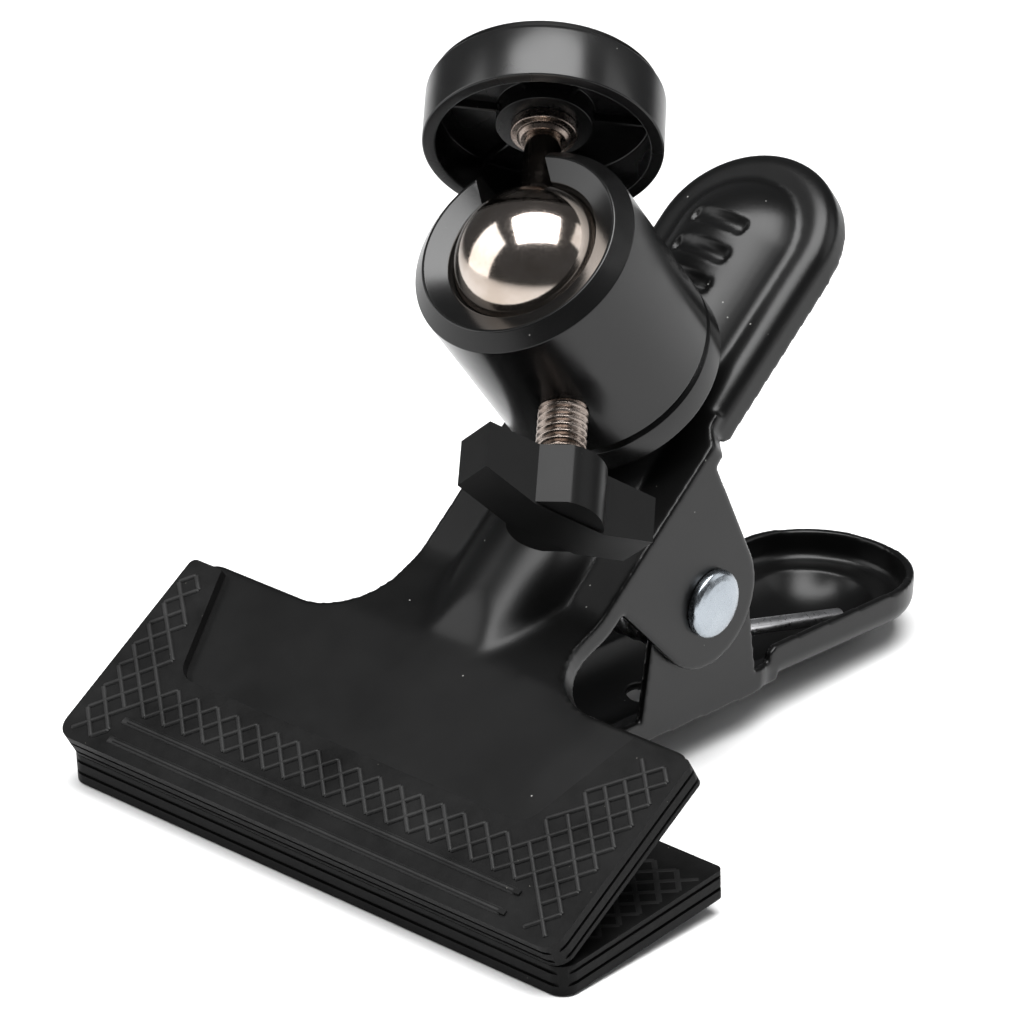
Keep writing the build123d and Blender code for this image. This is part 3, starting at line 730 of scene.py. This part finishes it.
def pivot_rivet():
    head_face = NECK_OUTER_HALF + 0.1
    tail_face = head_face + WASHER_THICKNESS
    radius, height = RIVET_HEAD
    tail, shank = RIVET_TAIL_RADIUS, RIVET_SHANK
    profile = [(0.0, -tail_face - 2.1), (2.2, -tail_face - 2.0), (3.9, -tail_face - 1.4, 0.5)]
    profile += [(tail, -tail_face - 0.7, 0.3), (tail, -tail_face), (shank, -tail_face, 0.05)]
    profile += [(shank, head_face, 0.05), (radius, head_face, 0.1), (radius, head_face + 1.0, 0.25)]
    dome = [(5.1, head_face + 1.5), (4.1, head_face + 1.85), (2.8, head_face + 2.08)]
    profile += dome + [(1.4, head_face + 2.18), (0.0, head_face + height)]
    piece = lathe("rivet", rounded(profile, 0.2, 3), ACROSS, 72)
    finish_piece(piece, ZINC, "lower_half", "zinc_steel", "pivot_rivet")


# ---- ball head ----
def base_ring():
    top = -RING_GAP
    bottom = top - RING_HEIGHT
    outer, inner = RING_RADIUS, RING_RADIUS - RING_EDGE
    profile = [(RING_BORE, bottom), (inner, bottom, 0.15), (outer, bottom + RING_EDGE, 0.15)]
    profile += [(outer, top - RING_EDGE, 0.12), (inner, top, 0.1), (SPIGOT_RADIUS, top, 0.1)]
    profile += [(SPIGOT_RADIUS, top + SPIGOT_HEIGHT, 0.3), (RING_BORE, top + SPIGOT_HEIGHT)]
    piece = lathe("head_base_ring", rounded(profile, 0.3), HEAD, 128)
    finish_piece(piece, ANODISED, "upper_half", "black_aluminium", "ball_head_base_ring")


def barrel():
    seat = BALL_RADIUS + SEAT_FIT
    lip = math.degrees(math.asin((LIP_LEVEL - BALL_LEVEL) / seat))
    seat_end = -math.degrees(math.acos(SEAT_RADIUS / seat))
    socket, depth = BARREL_SOCKET
    crest_in, crest_out = CREST_RADII
    profile = [(0.0, depth), (socket, depth, 0.2), (socket, 0.0, 0.2)]
    profile += [(BARREL_RADIUS - BARREL_FOOT, 0.0, 0.1), (BARREL_RADIUS, BARREL_FOOT, 0.12)]
    profile += [(BARREL_RADIUS, BARREL_SHOULDER, 0.14), (crest_out, BARREL_CREST, 0.12)]
    profile += [(crest_in, BARREL_CREST, 0.12), (*MOUTH, 0.2)]
    profile = rounded(profile + [LIP], 0.3, 6)
    profile += arc(BALL_LEVEL, seat, lip, seat_end, 24)
    profile += [(SEAT_RADIUS, SEAT_FLOOR), (0.0, SEAT_FLOOR)]
    body = lathe("barrel_body", profile, HEAD, 128)
    bm = bmesh.new()
    outline = [(BALL_LEVEL + 20, -SLOT_HALF), (BALL_LEVEL + 20, SLOT_HALF)]
    for k in range(25):
        angle = math.radians(90 + 180 * k / 24)
        outline.append((BALL_LEVEL + SLOT_HALF * math.cos(angle), SLOT_HALF * math.sin(angle)))
    extruded(bm, outline, 1.0, 30.0)
    slot_frame = HEAD @ Matrix.Rotation(math.radians(SLOT_AZIMUTH), 4, "Z")
    sideways = Matrix(((0, 0, 1, 0), (0, 1, 0, 0), (1, 0, 0, 0), (0, 0, 0, 1)))
    boolean(body, place(bm, "slot_cutter", slot_frame @ sideways), "DIFFERENCE")
    bm = bmesh.new()
    hole_radius = SCREW_RADIUS + SCREW_HOLE_FIT
    lathe_mesh(bm, [(0.0, 9.6), (hole_radius, 9.6), (hole_radius, 30.0), (0.0, 30.0)], 48)
    boolean(body, place(bm, "hole_cutter", SCREW), "DIFFERENCE")
    evened(bevelled(body, 0.12), 25)
    finish_piece(body, ANODISED, "barrel", "black_aluminium", "ball_head_barrel")


def ball_and_stem():
    blend = math.degrees(math.acos(4.3 / BALL_RADIUS))
    profile = arc(0.0, BALL_RADIUS, -90, blend, 40)
    profile += [(3.75, 12.15), (3.3, 12.8), (3.05, 13.8), (STEM_RADIUS, 15.4)]
    profile += [(STEM_RADIUS, STEM_END - 0.4), (STEM_RADIUS - 0.5, STEM_END)]
    profile[0] = (0.0, -BALL_RADIUS)
    piece = lathe("ball_stem", profile + [(0.0, STEM_END)], STEM, 96, 40)
    finish_piece(piece, CHROME, "ball_stem", "bright_chrome", "ball_and_stem")


def mounting_disc():
    boss, boss_end = DISC_BOSS
    profile = [(DISC_BORE, boss_end), (boss, boss_end, 0.25), (boss, DISC_WEB, 0.3)]
    profile += [(16.9, DISC_WEB, 0.6), (16.7, DISC_NEAR, 0.25), (DISC_RADIUS, DISC_NEAR, 0.35)]
    profile += [(DISC_RADIUS, DISC_FAR, 0.9), (5.02, DISC_FAR, 0.2), (5.02, 31.2, 0.05)]
    profile += [(DISC_BORE, 31.2)]
    body = lathe("disc_body", rounded(profile, 0.3), STEM, 120)
    bm = bmesh.new()
    for k in range(DISC_RIBS):
        angle = 2 * math.pi * k / DISC_RIBS
        ahead = Vector((math.cos(angle), math.sin(angle)))
        rib_mesh(bm, ahead * 7.3, ahead * 17.0, DISC_WEB + 0.1, 28.6, 0.42)
    ribs = place(bm, "disc_ribs", STEM)
    piece = smooth(joined([body, ribs], "disc"), 35)
    finish_piece(piece, PLASTIC, "platform", "black_plastic", "mount_disc")
    collar = [(2.95, 23.7), (3.6, 23.7, 0.15), (4.15, 24.35, 0.2), (4.15, 24.7, 0.1)]
    collar += [(5.2, 24.9, 0.25), (5.2, 26.55, 0.2), (2.95, 26.55)]
    piece = lathe("disc_collar", rounded(collar, 0.2), STEM, 72)
    finish_piece(piece, NICKEL, "platform", "nickel_steel", "disc_collar_nut")
    top, groove = FACE_TOP, FACE_TOP - 0.4
    pad = [(6.0, DISC_FAR + 0.02), (6.0, top, 0.3)]
    for r in (8.0, 11.0, 14.0):
        pad += [(r, top, 0.1), (r + 0.3, groove, 0.1), (r + 0.8, groove, 0.1), (r + 1.1, top, 0.1)]
    pad += [(18.0, top, 0.4), (18.0, DISC_FAR + 0.02)]
    piece = lathe("disc_pad", rounded(pad, 0.2), STEM, 96)
    finish_piece(piece, RUBBER, "platform", "black_rubber", "disc_face_pad")
    bm = bmesh.new()
    flange = [(0.0, 31.22), (5.0, 31.22, 0.1), (5.0, DISC_FAR, 0.2)]
    flange += [(2.6, DISC_FAR, 0), (0.0, DISC_FAR)]
    lathe_mesh(bm, rounded(flange, 0.1), 64)
    thread_mesh(bm, STUD_RADIUS, STUD_PITCH, 0.6, DISC_FAR - 0.2, STUD_TOP)
    piece = smooth(place(bm, "stud", STEM), 40)
    finish_piece(piece, NICKEL, "platform", "nickel_steel", "mount_stud")


def hub_outline():
    """Plan of the knob's hub: a circle with two flats, each where a wing begins."""
    start, end = KNOB_FACET_ANGLES
    outline = []
    for half in (0, 180):
        for k in range(30):
            angle = math.radians(start - 180 + half + (end - start + 180) * k / 29)
            outline.append((KNOB_HUB_RADIUS * math.cos(angle), KNOB_HUB_RADIUS * math.sin(angle)))
    return outline


def locking_knob():
    bm = bmesh.new()
    span, thickness, (wing, hub) = KNOB_HALF_SPAN, KNOB_HALF_WING, KNOB_DEPTHS
    shoulder = KNOB_HUB_RADIUS - 1
    profile = [(-span, 0.0), (span, 0.0), (span, wing), (shoulder, hub), (-shoulder, hub)]
    extruded(bm, profile + [(-span, wing)], -thickness, thickness)
    upright = Matrix(((1, 0, 0, 0), (0, 0, 1, 0), (0, 1, 0, 0), (0, 0, 0, 1)))
    local = SCREW @ Matrix.Translation((0, 0, KNOB_NEAR * MM))
    local = local @ Matrix.Rotation(math.radians(KNOB_TURN), 4, "Z")
    wings = place(bm, "knob_body", local @ upright)
    bm = bmesh.new()
    extruded(bm, hub_outline(), 0.02, hub - 0.4)
    boolean(wings, place(bm, "hub", local), "UNION")
    bm = bmesh.new()
    bore, bore_end = KNOB_BORE
    lathe_mesh(bm, [(0.0, -1.0), (bore, -1.0), (bore, bore_end), (0.0, bore_end)], 48)
    boolean(wings, place(bm, "hub_hole", local), "DIFFERENCE")
    evened(bevelled(wings, 0.3, 3), 35)
    finish_piece(wings, NYLON, "knob", "black_plastic", "locking_knob")
    bm = bmesh.new()
    thread_mesh(bm, SCREW_RADIUS, SCREW_PITCH, 0.68, *SCREW_THREAD)
    piece = smooth(place(bm, "knob_screw", SCREW), 60)
    finish_piece(piece, NICKEL, "knob", "nickel_steel", "locking_screw")


for kind, half_frame in (("lower", LOWER), ("upper", UPPER)):
    stamped_half(kind, half_frame)
    jaw_pad(kind, half_frame)
torsion_spring()
pivot_rivet()
base_ring()
barrel()
ball_and_stem()
mounting_disc()
locking_knob()

KEPT_NODES = {
    "rivet_tail_washer": ZINC,
    "spring_sleeve": PLASTIC,
    "head_saddle": PLASTIC,
    "head_flat_washer": ZINC,
    "head_spring_washer": ZINC,
    "head_fixing_screw": ZINC,
    "ball_seat_cup": PLASTIC,
    "pressure_plug": BRASS,
}
for node, material in KEPT_NODES.items():
    slots = frame["nodes"][node].material_slots
    for material_slot in slots:
        material_slot.material = material


# ---- floor, light and camera ----
def floor():
    look = Look("white_floor", Roughness=0.9)
    shade = look.ramp(look.noise(2.0, 2.0), [(0.3, (0.72, 0.72, 0.72)), (0.7, (0.75, 0.75, 0.75))])
    look.finish(shade)
    bm = bmesh.new()
    bmesh.ops.create_grid(bm, x_segments=1, y_segments=1, size=3000)
    piece = place(bm, "floor", Matrix.Identity(4))
    piece.data.materials.append(look.material)


def softbox(name, azimuth, elevation, distance, size, power, aim=(0, 0, 0.05)):
    """An area light on a sphere round the clamp; azimuth 0 is in front of the jaws."""
    data = bpy.data.lights.new(name, "AREA")
    data.shape = "RECTANGLE"
    data.size, data.size_y = size
    data.energy = power
    light = bpy.data.objects.new(name, data)
    bpy.context.collection.objects.link(light)
    a, e = math.radians(azimuth), math.radians(elevation)
    offset = Vector((math.sin(a) * math.cos(e), -math.cos(a) * math.cos(e), math.sin(e)))
    light.location = Vector(aim) + offset * distance
    light.rotation_euler = (-offset).to_track_quat("-Z", "Y").to_euler()


def studio():
    world = bpy.data.worlds.new("studio")
    bpy.context.scene.world = world
    world.use_nodes = True
    background = world.node_tree.nodes["Background"]
    background.inputs["Color"].default_value = (0.95, 0.97, 1.0, 1)
    background.inputs["Strength"].default_value = 0.10
    softbox("key_light", 44, 80, 0.8, (0.8, 0.65), 20)
    softbox("side_light", 135, 26, 1.0, (0.6, 0.7), 2.2)
    softbox("left_light", -46, 20, 0.9, (0.7, 0.9), 6)
    bpy.context.scene.view_settings.view_transform = "Standard"


CAMERA_AZIMUTH = 41.31
CAMERA_ELEVATION = 24.72
CAMERA_ROLL = 0.716
CAMERA_DISTANCE = 0.8538
CAMERA_AIM = (-0.0058, -0.01575, 0.04342)
LENS = 191.6


def camera():
    data = bpy.data.cameras.new("camera")
    data.lens = LENS
    data.sensor_width = 36.0
    data.clip_start = 0.05
    shooter = bpy.data.objects.new("camera", data)
    bpy.context.collection.objects.link(shooter)
    a, e = math.radians(CAMERA_AZIMUTH), math.radians(CAMERA_ELEVATION)
    back = Vector((math.sin(a) * math.cos(e), -math.cos(a) * math.cos(e), math.sin(e)))
    right = Vector((math.cos(a), math.sin(a), 0))
    turned = Matrix((right, back.cross(right), back)).transposed().to_4x4()
    turned = turned @ Matrix.Rotation(math.radians(CAMERA_ROLL), 4, "Z")
    turned.translation = Vector(CAMERA_AIM) + back * CAMERA_DISTANCE
    shooter.matrix_world = turned
    bpy.context.scene.camera = shooter


floor()
studio()
camera()

bpy.context.view_layer.update()
